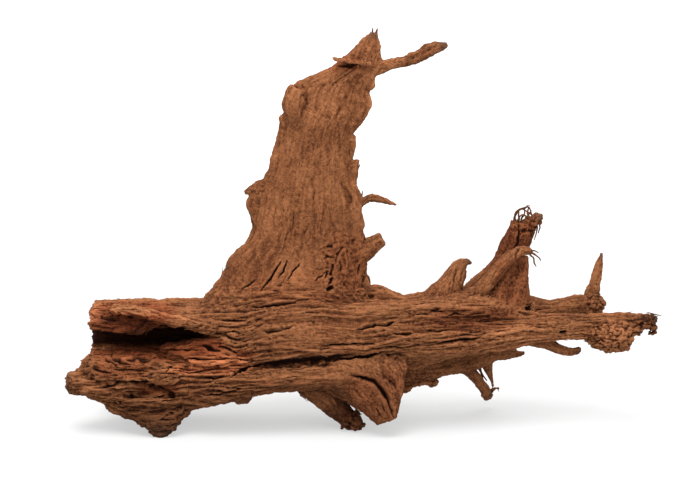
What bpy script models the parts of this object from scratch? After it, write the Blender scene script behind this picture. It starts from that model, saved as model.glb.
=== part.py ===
"""A piece of driftwood: a hollow-ended root stock lying on its feet, with an upright blade and broken limbs.

The wood is one natural piece, so it is one solid. Each limb is a rounded section carried along a smooth
path. All limbs overlap in one mesh, a voxel remesh fuses them into one skin, and a level cut flattens the
worn feet. X runs along the stock from the hollow end, Y runs to the back and Z is up.
"""

import math

import bmesh
import bpy
from mathutils import Vector

MM = 0.001

# Driving dimensions, in millimetres.
STEP_ALONG = 7.0  # spacing of the sections along a limb
SIDES = 16  # corners of one section
SQUARENESS = 2.3  # 2 is an ellipse, more is boxier
SKIN_VOXEL = 3.0  # finest detail that the fused skin keeps
SMOOTHING_PASSES = 3
TRIANGLE_SHARE = 0.10  # of the fused skin's faces, kept for the solid
SEAT = (0.5, -42.0, 0.0)  # moves the limbs so that the box around them stands centred on the origin
WORN_DEPTH = 30.0  # height of the block that cuts the feet level

WOOD_COLOUR = (0.27, 0.105, 0.042, 1.0)
WOOD_ROUGHNESS = 0.85

# A station is (x, y, z, half width across the path in the XZ plane, half depth towards Y), in millimetres.
# A level limb keeps its sections flat, as a stack of slices. The others keep theirs square to the path.
LIMBS = {
    # The hollow end: two lips and a back wall around an open channel.
    "upper_lip": [(-269, 25, 115, 10.5, 36), (-250, 25, 116, 11, 40), (-212, 25, 117, 11, 42),
                  (-172, 27, 117, 9.5, 42), (-120, 30, 112, 14, 38)],
    "lip_ledge": [(-244, 4, 127, 5, 12), (-212, -8, 122, 6, 12), (-180, -10, 117, 7, 12), (-150, -2, 112, 8, 12)],
    "back_wall": [(-266, 58, 77, 40, 12), (-212, 58, 77, 42, 14), (-147, 56, 77, 44, 15)],
    "lower_lip": [(-278, 22, 70, 13, 34), (-254, 22, 60, 23, 42), (-212, 22, 57, 29, 44),
                  (-172, 24, 57, 31, 44), (-112, 28, 64, 30, 40)],
    "lower_knob": [(-296, -2, 51, 8, 9), (-280, -2, 50, 11, 18), (-254, 2, 44, 16, 24), (-212, 12, 40, 20, 28)],
    # The stock: a core with strands that run along it, front and back.
    "core": [(-152, 32, 78, 40, 38), (-134, 32, 79, 46, 42), (-90, 32, 84, 46, 42), (-12, 32, 90, 43, 40),
             (38, 32, 93, 38, 38), (78, 32, 101, 33, 36), (118, 32, 107, 29, 32), (162, 30, 109, 21, 24)],
    "top_strand": [(-176, 18, 119, 6, 20), (-150, 18, 117, 9, 24), (-112, 18, 119, 15, 26),
                   (-62, 16, 121, 15, 28), (-12, 16, 119, 15, 28), (38, 18, 118, 16, 28), (88, 22, 122, 18, 26),
                   (132, 24, 122, 18, 24), (172, 26, 114, 12, 16)],
    "front_beam": [(-156, 14, 86, 12, 16), (-112, 6, 87, 22, 27), (-62, 5, 91, 22, 28), (-12, 5, 94, 21, 27),
                   (38, 6, 95, 20, 26), (88, 9, 95, 19, 24), (128, 11, 98, 18, 22), (158, 12, 102, 17, 19),
                   (188, 12, 105, 14, 16), (223, 12, 106, 13, 15), (250, 12, 109, 11, 12), (278, 12, 112, 7, 9),
                   (295, 12, 114, 6, 7)],
    "low_strand": [(-178, 6, 40, 19, 24), (-146, 2, 46, 16.5, 26), (-112, 0, 53.5, 16, 26), (-72, 0, 60.5, 17, 26),
                   (-32, 2, 62.5, 18, 26), (4, 0, 66, 21, 26)],
    "back_strand": [(-212, 58, 98, 18, 18), (-140, 62, 96, 20, 20), (-60, 60, 102, 18, 20), (20, 58, 104, 18, 20),
                    (90, 56, 106, 16, 18), (160, 50, 112, 12, 14)],
    "back_low_strand": [(-232, 56, 52, 18, 18), (-150, 60, 50, 22, 20), (-70, 62, 56, 20, 20), (10, 62, 60, 20, 20)],
    # The right hand end.
    "burl": [(228, 8, 102, 10, 12), (244, 8, 98, 16, 19), (258, 8, 96, 15, 18), (271, 8, 92, 9, 11)],
    "burl_tip": [(266, 9, 106, 9, 9), (282, 6, 106, 6, 6)],
    "rear_branch": [(118, 45, 114, 20, 20), (163, 45, 120, 14, 16), (190, 45, 118, 9, 11),
                    (218, 45, 122, 10, 11), (242, 45, 121, 10, 9), (250, 45, 118, 7, 6)],
    "thin_spike": [(233, 46, 126, 8, 7), (237, 46, 147, 5, 5), (241, 46, 163, 3.5, 3.5), (242, 46, 173, 2.5, 2.5)],
    "rear_horn": [(113, 52, 118, 21, 18), (142, 52, 154, 15, 13), (154, 52, 178, 14.5, 11), (161, 52, 194, 13.5, 10),
                  (164, 52, 208, 11, 8), (166, 52, 217, 6, 5)],
    "horn_knob": [(166, 50, 196, 6, 6), (176, 48, 206, 6, 5), (183, 47, 211, 4, 4)],
    "hooked_nub": [(70, 28, 116, 22, 24), (88, 28, 143, 13, 14), (95, 28, 157, 10, 9), (100, 28, 166, 6.5, 6),
                   (106, 28, 168.5, 3.8, 3.8)],
    "stock_flake": [(2, 26, 128, 12, 10), (14, 24, 139, 7, 5), (25, 24, 131, 7, 6)],
    # Limbs off the upright blade.
    "top_twig": [(8, 32, 359, 9, 8), (28, 30, 367, 6, 6), (46, 27, 371, 5, 5), (64, 23, 379, 6, 5), (80, 20, 387, 4, 4)],
    "blade_thorn": [(-90, 32, 236, 14, 9), (-106, 32, 240, 7, 6), (-117, 32, 241, 3, 3)],
    "blade_bump": [(-96, 32, 223, 9, 9), (-113, 32, 224, 4, 5)],
    "blade_stub": [(-16, 30, 172, 16, 14), (2, 30, 180, 11, 11), (13, 30, 187, 8, 8), (20, 30, 191, 6.5, 6.5)],
    "top_flake": [(-2, 28, 366, 7, 6), (-18, 26, 369, 4, 4), (-28, 26, 371, 3, 3)],
    "curled_root": [(-14, 36, 218, 5, 5), (-1, 44, 225, 3.5, 3.5), (8, 46, 231, 3.5, 3.5), (20, 46, 228, 3, 3),
                    (32, 46, 224, 2.5, 2.5)],
    # Roots and feet under the stock.
    "front_leg": [(-50, 10, 52, 18, 20), (-28, 9, 27, 11, 13), (-16, 10, 12, 9, 10), (-9, 10, 3, 8, 9), (-7, 10, -6, 8, 8)],
    "root_flare": [(-30, 4, 66, 26, 26), (-2, 0, 60, 32, 26), (13, -8, 43, 27, 22), (20, -14, 29, 19, 14),
                   (25, -17, 16, 11, 9)],
    "rear_root": [(33, 58, 56, 26, 26), (78, 68, 56, 18, 20), (116, 76, 59, 15.5, 18), (138, 80, 63, 11.5, 12),
                  (152, 81, 64, 10, 10), (160, 81, 65.5, 7.5, 7)],
    "root_spur": [(140, 80, 60, 8, 6), (152, 80, 58.5, 6, 4.5), (161, 80, 58.5, 3.8, 3.5), (168, 80, 59.5, 2.8, 2.8)],
    "right_leg": [(102, 74, 53, 10, 10), (110, 76, 44, 7.6, 8), (119, 79, 34, 6, 6), (129, 83, 18, 5.2, 5.2),
                  (133, 84, 11, 5, 5)],
    "right_leg_fork": [(129, 78, 56, 8, 8), (132.6, 79, 42, 5, 5), (134.5, 80, 34, 3.6, 3.6), (135.5, 81, 27, 3, 3)],
    "low_root": [(158, 28, 93, 9, 10), (185, 24, 86, 6.4, 7.5), (199, 20, 80, 5.2, 6.5), (211, 18, 77.5, 4.6, 5),
                 (219, 17, 80, 4, 4)],
    "rear_foot": [(8, 60, 62, 26, 26), (14, 86, 34, 15, 15), (18, 100, 14, 10, 10), (19, 104, -6, 9, 9)],
    "back_stub": [(-84, 56, 104, 22, 20), (-92, 84, 116, 13, 13), (-96, 98, 124, 9, 9)],
}

LEVEL_LIMBS = {
    "blade": [(-72, 32, 114, 96, 42), (-73, 32, 126, 91, 38), (-71, 32, 138, 82, 34), (-68, 32, 156, 73, 29),
              (-65, 32, 174, 66, 25), (-58, 32, 192, 58, 21), (-56, 32, 212, 53, 18), (-54, 32, 239, 49, 16),
              (-51, 32, 270, 42, 15), (-48, 32, 291, 37.5, 14), (-45.5, 32, 305, 38, 14), (-37, 32, 323, 40, 13),
              (-34, 32, 338, 40, 12), (-26, 32, 350, 37, 11), (-13, 32, 359, 30, 10), (-3, 32, 368, 23, 9),
              (1, 32, 376, 18, 8), (5, 32, 384, 13.5, 6.5), (8, 32, 391, 8.5, 5), (12, 32, 397, 4, 3.5)],
    "front_horn": [(135, 28, 114, 40, 30), (137, 28, 126, 34, 26), (148, 28, 143, 21, 19), (157, 28, 160, 12, 11),
                   (163, 28, 175, 5, 5)],
    "left_foot": [(-216, 12, 41, 56, 38), (-213, 6, 26, 45, 30), (-205, -1, 18, 30, 24), (-202, -7, 9, 18, 18),
                  (-201, -10, 2, 10, 12), (-201, -10, -6, 8, 10)],
    "left_rear_foot": [(-208, 52, 42, 44, 24), (-206, 62, 24, 30, 20), (-205, 70, 10, 18, 15), (-205, 73, -6, 14, 12)],
}


def smooth_rows(stations):
    """Stations at an even spacing on the Catmull-Rom curve through the given ones, every column smoothed alike."""
    rows = []
    ends = [stations[0]] + list(stations) + [stations[-1]]
    for before, start, end, after in zip(ends, ends[1:], ends[2:], ends[3:]):
        pieces = max(1, round(math.dist(start[:3], end[:3]) / STEP_ALONG))
        for piece in range(pieces):
            t = piece / pieces
            rows.append([
                0.5 * (2 * b + (c - a) * t + (2 * a - 5 * b + 4 * c - d) * t**2 + (3 * b - a - 3 * c + d) * t**3)
                for a, b, c, d in zip(before, start, end, after)
            ])
    rows.append(list(stations[-1]))
    return rows


def section_axes(rows, index, level):
    """The directions of a section's half width and half depth at one row."""
    if level:
        return Vector((1, 0, 0)), Vector((0, 1, 0))
    ahead, behind = rows[min(index + 1, len(rows) - 1)], rows[max(index - 1, 0)]
    along = (Vector(ahead[:3]) - Vector(behind[:3])).normalized()
    across = Vector((0, 1, 0)).cross(along).normalized()
    return across, along.cross(across)


def add_limb(mesh, stations, level):
    """Adds one closed limb: rings of a rounded section along the path, and a fan over each end."""
    rows = smooth_rows(stations)
    rings = []
    for index, (x, y, z, half_width, half_depth) in enumerate(rows):
        across, deep = section_axes(rows, index, level)
        ring = []
        for side in range(SIDES):
            angle = 2 * math.pi * side / SIDES
            c, s = math.cos(angle), math.sin(angle)
            reach = (abs(c) ** SQUARENESS + abs(s) ** SQUARENESS) ** (-1 / SQUARENESS)
            point = Vector((x, y, z)) + across * (half_width * reach * c) + deep * (half_depth * reach * s)
            ring.append(mesh.verts.new((point + Vector(SEAT)) * MM))
        rings.append(ring)
    for low, high in zip(rings, rings[1:]):
        for side in range(SIDES):
            after = (side + 1) % SIDES
            mesh.faces.new((low[side], low[after], high[after], high[side]))
    mesh.faces.new(rings[0])
    mesh.faces.new(rings[-1])


def wood_material():
    wood = bpy.data.materials.new("weathered_wood")
    wood.use_nodes = True
    shader = wood.node_tree.nodes["Principled BSDF"]
    shader.inputs["Base Color"].default_value = WOOD_COLOUR
    shader.inputs["Roughness"].default_value = WOOD_ROUGHNESS
    shader.inputs["Metallic"].default_value = 0.0
    return wood


def add_object(name, mesh):
    data = bpy.data.meshes.new(name)
    bmesh.ops.recalc_face_normals(mesh, faces=mesh.faces)
    mesh.to_mesh(data)
    mesh.free()
    obj = bpy.data.objects.new(name, data)
    bpy.context.scene.collection.objects.link(obj)
    return obj


def limbs_object():
    mesh = bmesh.new()
    for stations in LIMBS.values():
        add_limb(mesh, stations, level=False)
    for stations in LEVEL_LIMBS.values():
        add_limb(mesh, stations, level=True)
    return add_object("driftwood", mesh)


def ground_block():
    """A block whose top is the ground. It cuts the feet level where they have worn flat."""
    mesh = bmesh.new()
    bmesh.ops.create_cube(mesh, size=1.0)
    bmesh.ops.scale(mesh, vec=Vector((1.0, 1.0, WORN_DEPTH * MM)), verts=mesh.verts)
    bmesh.ops.translate(mesh, vec=Vector((0, 0, -WORN_DEPTH / 2 * MM)), verts=mesh.verts)
    block = add_object("ground_block", mesh)
    block.hide_render = True
    block.display_type = "WIRE"
    return block


def fuse(wood, ground):
    """Fuses the overlapping limbs into one skin, softens it, thins its faces and cuts the feet level."""
    remesh = wood.modifiers.new("fuse_limbs", "REMESH")
    remesh.mode = "VOXEL"
    remesh.voxel_size = SKIN_VOXEL * MM
    soften = wood.modifiers.new("soften", "SMOOTH")
    soften.factor = 0.5
    soften.iterations = SMOOTHING_PASSES
    thin = wood.modifiers.new("thin_faces", "DECIMATE")
    thin.ratio = TRIANGLE_SHARE
    cut = wood.modifiers.new("worn_feet", "BOOLEAN")
    cut.operation = "DIFFERENCE"
    cut.solver = "EXACT"
    cut.object = ground


def main():
    for obj in list(bpy.data.objects):
        bpy.data.objects.remove(obj)
    wood = limbs_object()
    wood.data.materials.append(wood_material())
    fuse(wood, ground_block())


main()
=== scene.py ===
import math

import bpy
import numpy as np
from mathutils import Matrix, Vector


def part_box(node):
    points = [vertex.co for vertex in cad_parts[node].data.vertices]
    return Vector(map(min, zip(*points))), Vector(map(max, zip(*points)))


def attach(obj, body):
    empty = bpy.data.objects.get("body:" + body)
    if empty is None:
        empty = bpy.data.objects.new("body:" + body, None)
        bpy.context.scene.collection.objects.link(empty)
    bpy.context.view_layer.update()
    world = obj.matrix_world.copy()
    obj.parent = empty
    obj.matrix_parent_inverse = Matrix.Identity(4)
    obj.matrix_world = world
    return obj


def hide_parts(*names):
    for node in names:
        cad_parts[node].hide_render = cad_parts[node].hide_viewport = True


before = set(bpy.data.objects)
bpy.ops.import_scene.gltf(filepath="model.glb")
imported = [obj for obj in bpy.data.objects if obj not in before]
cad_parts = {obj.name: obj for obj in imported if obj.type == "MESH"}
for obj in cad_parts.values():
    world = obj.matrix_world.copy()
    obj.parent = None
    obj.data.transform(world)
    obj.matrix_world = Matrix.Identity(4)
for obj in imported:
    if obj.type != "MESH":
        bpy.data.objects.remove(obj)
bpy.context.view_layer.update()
print("frame loaded")

mm = 0.001
boxLow, boxHigh = (np.array(corner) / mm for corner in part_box("driftwood"))
boxBase = np.array([(boxLow[0] + boxHigh[0]) / 2, (boxLow[1] + boxHigh[1]) / 2, boxLow[2]])

# ---- the form of the wood ----
# A row is (x, y, z, half width across the path in the XZ plane, half depth towards Y), in millimetres.
form = {
    "seat": (0.5, -42.0, 0.0),  # from the middle of the CAD box's base to the rows' own origin
    "stepAlong": 5.0,  # mm between two rings of a limb
    "sides": 24,  # corners of a ring
    "squareness": 2.3,  # 2 gives an ellipse, more is boxier
    "voxel": 1.05,  # mm, the finest detail of the fused skin
    "settle": 3,  # passes of the first smoothing, which removes the voxel steps
    "blend": 14,  # passes of the second smoothing, on the stock and the blade
    "blendStep": 0.6,  # how far each pass moves a point towards its neighbours
    "limbsKeep": 0.9,  # how far the thin limbs are spared from it
    "topKeeps": 0.8,  # how far the blade's top is
    "topFrom": (340, 365),  # mm of height, where the top begins
    "triangles": 196000,  # the most faces of the finished skin
}

stockLimbs = {
    "upperLip": [(-271, 25, 113, 12, 36), (-250, 25, 113.5, 12.5, 40), (-222, 25, 113, 12.5, 42),
        (-200, 27, 115, 9.5, 42), (-176, 27, 117, 7, 42), (-150, 29, 114, 10, 40), (-120, 30, 111, 14, 38)],
    "lipLedge": [(-248, -2, 129, 3.2, 10), (-228, -10, 127.5, 3.6, 11), (-208, -15, 124, 3.8, 11),
        (-190, -17, 119, 3.8, 11), (-170, -13, 115, 5, 11), (-148, -4, 111, 8, 12)],
    "backWall": [(-275, 58, 80, 42, 12), (-212, 58, 78, 44, 14), (-147, 56, 77, 44, 15)],
    "lowerLip": [(-270, 22, 73, 11, 30), (-263, 20, 67, 18, 36), (-254, 20, 62, 22, 41),
        (-212, 20, 57, 27, 43), (-172, 24, 53, 28, 43), (-112, 28, 60, 28, 40)],
    "lipSpur": [(-285, 6, 61, 1.6, 5), (-276, 8, 62, 4, 10), (-262, 12, 62, 8, 18)],
    "lipSliver": [(-240, -17, 62, 3, 6), (-222, -22, 62, 3.5, 8), (-204, -22, 61, 3.5, 8),
        (-182, -16, 58, 4, 6)],
    "lowerKnob": [(-295, -2, 50, 8, 11), (-290, -2, 51, 10.5, 14), (-276, -2, 50, 11, 18),
        (-254, 2, 44, 15, 24), (-212, 12, 40, 20, 28)],
    "splinterTop": [(-136, 2, 93, 7, 8), (-160, -6, 92, 5, 6), (-182, -10, 91, 3.4, 5),
        (-200, -13, 90, 1.8, 3)],
    "splinterMid": [(-132, -2, 85, 7, 8), (-154, -9, 85, 4.5, 6), (-176, -13, 84.5, 3.2, 5),
        (-192, -15, 83, 1.8, 3)],
    "splinterLow": [(-126, -4, 77, 7, 8), (-146, -11, 78, 4, 6), (-162, -15, 78.5, 2.8, 4),
        (-172, -16, 79, 1.6, 3)],
    "core": [(-152, 32, 78, 40, 38), (-134, 32, 79, 46, 42), (-90, 32, 84, 47, 43), (-12, 32, 90, 44, 42),
        (38, 32, 93, 39, 40), (78, 32, 101, 33, 38), (118, 32, 107, 29, 33), (162, 30, 109, 21, 24)],
    "topStrand": [(-176, 18, 119, 6, 20), (-150, 18, 117, 9, 24), (-112, 18, 119, 15, 26),
        (-62, 16, 121, 15, 28), (-12, 16, 119, 15, 28), (38, 18, 118, 16, 28), (88, 22, 122, 18, 26),
        (132, 24, 122, 18, 24), (172, 26, 114, 12, 16)],
    "frontBeam": [(-156, 14, 86, 12, 16), (-112, 7, 90, 24, 27), (-62, 6, 94, 25, 28), (-12, 6, 97, 24, 28),
        (38, 7, 98, 22, 27), (88, 9, 97, 20, 25), (128, 11, 99, 18, 22), (158, 12, 102, 17, 19),
        (188, 12, 105, 14, 16), (223, 12, 106, 13, 15), (250, 12, 109, 11, 12), (278, 12, 112, 7, 9),
        (295, 12, 114, 5, 6)],
    "lowStrand": [(-178, 6, 40, 19, 24), (-146, 2, 46, 16.5, 26), (-112, 0, 54.3, 15.2, 26),
        (-72, 0, 60.5, 17, 26), (-32, 2, 62.5, 18, 26), (4, 0, 66, 21, 26), (40, 8, 70, 12, 20)],
    "bellyLump": [(-130, 2, 38, 5, 7), (-121, 1, 33, 6, 8), (-112, 2, 38, 5, 7)],
    "backStrand": [(-212, 58, 98, 18, 18), (-140, 62, 96, 20, 20), (-60, 60, 102, 18, 20),
        (20, 58, 104, 18, 20), (90, 56, 106, 16, 18), (160, 50, 112, 12, 14)],
    "backLowStrand": [(-232, 56, 52, 18, 18), (-150, 60, 50, 22, 20), (-70, 62, 56, 20, 20),
        (10, 62, 60, 20, 20)],
    "stockFlake": [(3, 26, 128, 12, 10), (10, 24, 141, 5, 4), (18, 23, 141, 6, 4), (28, 24, 132, 7, 6)],
    "shoulderBump": [(12, 24, 134, 7, 8), (22, 24, 137, 4, 6), (32, 24, 132, 6, 8), (44, 24, 130, 4, 6)],
}
stockFeet = {
    "leftFoot": [(-216, 12, 41, 56, 38), (-213, 6, 26, 45, 30), (-205, -1, 18, 30, 24), (-202, -7, 9, 18, 18),
        (-201, -10, 2, 10, 12), (-201, -10, -6, 8, 10)],
    "leftRearFoot": [(-208, 52, 42, 44, 24), (-206, 62, 24, 28, 20), (-205, 70, 10, 15, 14),
        (-204, 74, -6, 9, 9)],
}
bladeLimbs = {
    "blade": [(-72, 32, 114, 96, 42), (-73, 32, 126, 91, 38), (-71, 32, 138, 82, 34), (-68, 32, 156, 73, 29),
        (-65, 32, 174, 66, 25), (-58, 32, 192, 58, 21), (-56, 32, 212, 53, 18), (-54, 32, 239, 49, 16),
        (-51, 32, 270, 41.5, 15), (-48, 32, 291, 37, 14), (-45.5, 32, 305, 38, 14), (-37, 32, 323, 40, 13),
        (-34, 32, 338, 39.5, 12), (-27, 32, 350, 37, 11), (-13, 32, 359, 30, 10), (-3, 32, 368, 23, 9),
        (1, 32, 376, 18, 8), (4.5, 32, 384, 13.5, 6.5), (7.5, 32, 391, 8.5, 5), (11, 32, 398, 3.5, 3)],
    "shoulderLobe": [(-67, 26, 308, 6, 8), (-67, 24, 320, 9.5, 11), (-67, 24, 332, 9.5, 11),
        (-63, 26, 343, 7, 9)],
    "edgeRib": [(-4, 30, 176, 8, 12), (-6, 29, 206, 8, 11), (-7, 28, 232, 7, 11), (-10, 28, 250, 5, 9)],
    "edgeFlakeLow": [(-14, 30, 236, 6, 5), (-10, 28, 250, 5, 4), (-8, 28, 262, 5, 4), (-8, 28, 272, 3, 3)],
    "edgeFlakeHigh": [(-18, 30, 264, 6, 5), (-14, 28, 278, 4, 4), (-12, 28, 290, 4.5, 3.5),
        (-11, 28, 296, 3, 2.5)],
    "edgeKnobs": [(-19, 30, 296, 6, 6), (-11, 30, 307, 8, 7), (-5, 30, 317, 9, 8), (0, 30, 328, 9.5, 8),
        (-3, 30, 339, 8, 7), (1, 30, 348, 8, 7), (8, 30, 357, 7, 7)],
    "leftBump": [(-97, 32, 238, 9, 9), (-107, 32, 229, 9, 8), (-107, 32, 217, 8, 8), (-103, 32, 204, 7, 8)],
    "baseEdge": [(-6, 30, 140, 12, 12), (-4, 30, 152, 10, 11), (-4, 30, 166, 9, 10)],
}
branchLimbs = {
    "burl": [(226, 8, 102, 9, 12), (240, 8, 98, 14.5, 18), (256, 8, 96.5, 14.5, 18), (269, 8, 92, 9.5, 11)],
    "burlTip": [(260, 9, 106, 10, 10), (272, 6, 105, 7, 8), (280, 6, 103, 4.5, 5)],
    "tipHook": [(280, 4, 110, 4, 5), (289, 4, 108, 3.6, 4), (293.5, 5, 104, 2.6, 3), (291, 5, 100, 2.2, 2.6),
        (286, 5, 101, 2, 2.4)],
    "rearBranch": [(118, 45, 112, 20, 20), (163, 45, 117, 14, 16), (190, 45, 115.5, 9, 11),
        (218, 45, 119, 11, 12), (238, 45, 118.5, 11, 10), (245, 45, 116.5, 8, 7)],
    "thinSpike": [(233, 46, 124, 9, 8), (237, 46, 145, 5.6, 5.5), (240, 46, 160, 4.2, 4),
        (241.5, 46, 168, 2.6, 2.8), (242.5, 46, 174, 1.2, 1.4)],
    "rearHorn": [(113, 52, 118, 21, 18), (142, 52, 154, 15, 13), (154, 52, 178, 14.5, 11),
        (161, 52, 194, 13.5, 10), (163, 52, 204, 11, 8)],
    "hornKnob": [(160, 50, 196, 8, 7), (171, 48, 204, 7, 6), (179, 47, 210, 5, 5), (183, 47, 212, 2.6, 3)],
    "hornStrip": [(160, 46, 196, 3, 3), (154, 45, 186, 3.4, 3.2), (146, 46, 172, 3.6, 3.2),
        (134, 48, 156, 4, 3)],
    "frontHorn": [(135, 28, 112, 39, 30), (137, 28, 124, 33, 26), (147, 28, 143, 21, 18),
        (155, 30, 160, 12, 11), (161, 30, 174, 6, 6)],
    "hornRidge": [(112, 18, 132, 9, 9), (126, 14, 151, 7, 8), (140, 15, 168, 6, 7), (152, 19, 178, 5.5, 6),
        (164, 25, 181, 4, 5), (170, 27, 178, 2.4, 3)],
    "hookedNub": [(70, 28, 116, 22, 24), (88, 28, 143, 13, 14), (95, 28, 157, 10, 9), (100, 28, 166, 6.5, 6),
        (106, 28, 168.5, 3.4, 3.5), (110, 28, 167, 1.8, 2)],
    "topTwig": [(8, 32, 360, 8, 8), (28, 30, 367, 5.8, 6), (46, 27, 371, 5, 5), (60, 23, 377.5, 5.6, 5),
        (71, 20, 384, 5.8, 5), (78, 20, 386, 4, 4), (82.5, 20, 388, 1.8, 2)],
    "twigKnots": [(44, 27, 374, 3, 4), (48, 25, 378, 2.6, 3), (55, 24, 379, 3, 4), (63, 22, 386, 3, 3),
        (66, 21, 388, 1.6, 2)],
    "bladeThorn": [(-84, 32, 240, 17, 9), (-98, 32, 243, 10.5, 7), (-109, 32, 241, 6, 4.5),
        (-117, 32, 238.5, 2, 2)],
    "bladeStub": [(-16, 30, 170, 16, 14), (2, 30, 180, 11.5, 11), (13, 30, 187, 8.5, 8),
        (21, 30, 192, 7, 6.5)],
    "topFlake": [(6, 26, 368, 4, 5), (-10, 21, 371, 2.2, 8), (-22, 19, 372, 1.8, 6),
        (-29, 19, 374.5, 1.4, 3)],
    "curledRoot": [(-14, 36, 218, 5, 5), (-1, 44, 225, 4, 4), (8, 46, 231, 3.8, 4), (20, 46, 229, 3.2, 3),
        (30, 46, 225, 2.2, 2.2), (35, 46, 223, 1.2, 1.2)],
    "frontLeg": [(-50, 10, 52, 19, 20), (-30, 9, 27, 13, 13), (-17, 10, 13, 10, 10), (-9, 10, 3, 8, 9),
        (-7, 10, -6, 7, 7)],
    "rootFlare": [(-30, 4, 66, 26, 26), (-2, 0, 60, 32, 26), (13, -8, 43, 27, 22), (20, -14, 29, 19, 14),
        (25, -17, 16, 11, 9)],
    "flareStrand": [(6, 2, 78, 16, 20), (25, -4, 68, 15, 18), (33, -6, 52, 9.5, 15), (31, -10, 36, 8, 12),
        (27, -14, 20, 7, 8)],
    "legToe": [(-12, 6, 14, 5, 7), (-4, 5, 9, 4, 5), (0, 5, 6, 3, 4), (3, 5, 4, 1.8, 2)],
    "toeBitLeft": [(-14, 2, 14, 4, 4), (-19, -1, 7, 2.8, 3), (-21, -2, 2, 1.8, 2)],
    "toeBitMid": [(-8, 0, 10, 4, 4), (-7, -4, 4, 2.6, 3), (-6, -6, 1, 1.8, 2)],
    "toeBitHigh": [(-8, 4, 20, 3, 4), (-1, 3, 17, 2.2, 3), (2, 3, 18, 1.4, 2)],
    "edgeStripHigh": [(-13, 28, 272, 3, 4), (-10.5, 28, 281, 3.2, 4), (-9, 28, 291, 3.2, 3.5),
        (-8.5, 28, 297, 2.6, 3)],
    "edgeStripLow": [(-12, 28, 244, 4, 4), (-9.5, 28, 257, 3.6, 4), (-6.5, 28, 267, 3, 3),
        (-4.5, 28, 273, 2.2, 2.4)],
    "edgeChip": [(6, 28, 343, 4, 4), (10, 28, 348, 3.6, 4), (9, 28, 354, 2.8, 3)],
    "leftChip": [(-73, 30, 298, 5, 6), (-78, 30, 309, 4, 5), (-79.5, 30, 316, 3, 4)],
    "lobeChip": [(-72, 27, 318, 5, 6), (-75.5, 27, 328, 4, 5), (-73, 27, 337, 4, 5), (-69, 27, 347, 2.6, 3)],
    "rearRoot": [(33, 58, 56, 26, 26), (78, 68, 56, 18, 20), (116, 76, 59, 15.5, 18), (138, 80, 63, 11.5, 12),
        (152, 81, 64, 10, 10), (160, 81, 65.5, 7.5, 7)],
    "rootLumps": [(36, 50, 36, 7, 9), (44, 52, 33, 8, 8), (52, 54, 37, 5, 8), (70, 60, 36, 4, 6),
        (73, 60, 31, 3.5, 4), (76, 60, 37, 4, 6)],
    "rootSpur": [(140, 80, 60, 8, 6), (152, 80, 58.5, 6, 4), (161, 80, 58.5, 3.6, 3),
        (170, 80, 60, 1.6, 1.8)],
    "spurHigh": [(140, 78, 66, 8, 8), (150, 78, 66, 6, 6), (158, 78, 66, 2, 3)],
    "rightLeg": [(102, 74, 53, 10, 10), (110, 76, 44, 7.6, 8), (119, 79, 34, 5.8, 6), (129.5, 83, 18, 4.8, 5),
        (133.5, 84, 11, 4.8, 5)],
    "rightLegFork": [(129, 78, 56, 8, 8), (132.6, 79, 42, 4.8, 5), (135, 80, 34, 3, 3),
        (136.2, 81, 28, 2.1, 2), (137, 81, 23, 1.6, 1.6)],
    "legCurl": [(134, 85, 15, 2.2, 2.4), (139, 84, 20, 2, 2.2), (143, 84, 21, 1.9, 2),
        (144, 84, 16, 1.4, 1.5)],
    "lowRoot": [(158, 28, 93, 9, 10), (185, 24, 86, 6.4, 7.5), (199, 20, 80, 5.2, 6.5),
        (211, 18, 77.5, 4.4, 5), (217, 17, 79, 3.4, 4), (221, 17, 82, 2.2, 3)],
    "rearFoot": [(6, 60, 62, 27, 26), (18, 84, 38, 16, 15), (17, 97, 20, 10.5, 11), (24, 106, 7, 7.5, 8),
        (26, 108, -6, 5.5, 6)],
    "rearFootToe": [(14, 92, 24, 8, 8), (8, 101, 10, 5.5, 5), (3, 108, 2, 3, 3)],
    "rearFootKnee": [(4, 84, 44, 9, 8), (7, 92, 34, 7, 7), (11, 96, 24, 5, 5)],
    "backStub": [(-84, 56, 104, 22, 20), (-92, 84, 116, 13, 12), (-95, 94, 122, 9.5, 9),
        (-98, 101, 127, 5, 5)],
    "backStubTip": [(-94, 88, 119, 7, 7), (-90, 98, 128, 4, 4), (-89, 101, 132, 2, 2)],
}
levelLimbs = ("leftFoot", "leftRearFoot", "blade", "frontHorn")  # their rings lie flat, one above another
seat = boxBase + np.array(form["seat"])


def distances(path):
    # the way along a broken line to each of its points
    return np.append(0.0, np.cumsum(np.linalg.norm(np.diff(path, axis=0), axis=1)))


def smoothRows(rows, step):
    # rows at an even spacing on the Catmull-Rom curve through the given ones, all columns smoothed alike
    rows = np.asarray(rows, float)
    lengths = distances(rows[:, :3])
    count = max(5, round(lengths[-1] / step) + 1)
    place = np.interp(np.linspace(0, lengths[-1], count), lengths, np.arange(len(rows)))
    start = np.clip(place.astype(int), 0, len(rows) - 2)
    t = (place - start)[:, None]
    padded = np.vstack([rows[:1], rows, rows[-1:]])
    a, b, c, d = (padded[start + k] for k in range(4))
    return 0.5 * (2 * b + (c - a) * t + (2 * a - 5 * b + 4 * c - d) * t**2 + (3 * b - a - 3 * c + d) * t**3)


def ringAxes(path, level):
    # the two directions of each ring: across the path in the XZ plane, and the one square to both
    if level:
        return np.tile([1.0, 0, 0], (len(path), 1)), np.tile([0, 1.0, 0], (len(path), 1))
    along = np.gradient(path, axis=0)
    along /= np.linalg.norm(along, axis=1)[:, None]
    across = np.cross([0.0, 1.0, 0.0], along)
    across /= np.linalg.norm(across, axis=1)[:, None]
    return across, np.cross(along, across)


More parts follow.
